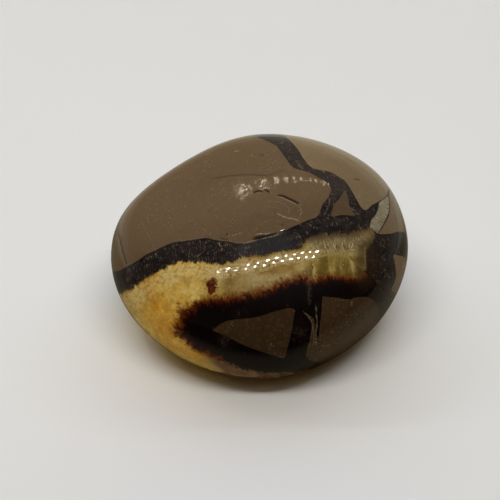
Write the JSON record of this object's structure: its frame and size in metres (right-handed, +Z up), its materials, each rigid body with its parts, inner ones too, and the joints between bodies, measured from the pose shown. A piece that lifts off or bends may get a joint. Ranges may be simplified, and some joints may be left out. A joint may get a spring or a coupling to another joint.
{
  "type": "septarian nodule",
  "caption": "Polished septarian nodule: a flattened egg-shaped stone of grey-brown limestone blocks parted by dark and honey-yellow calcite veins.",
  "frame": {"origin": "middle of the stone's footprint, on the surface that it rests on", "axes": "+X along the stone's long axis to the right in the picture, +Y away from the viewer, +Z up"},
  "size_m": [0.0706, 0.0632, 0.0375],
  "materials": {
    "stone": "polished"
  },
  "bodies": {
    "root": {"nodule": "stone"}
  },
  "joints": []
}
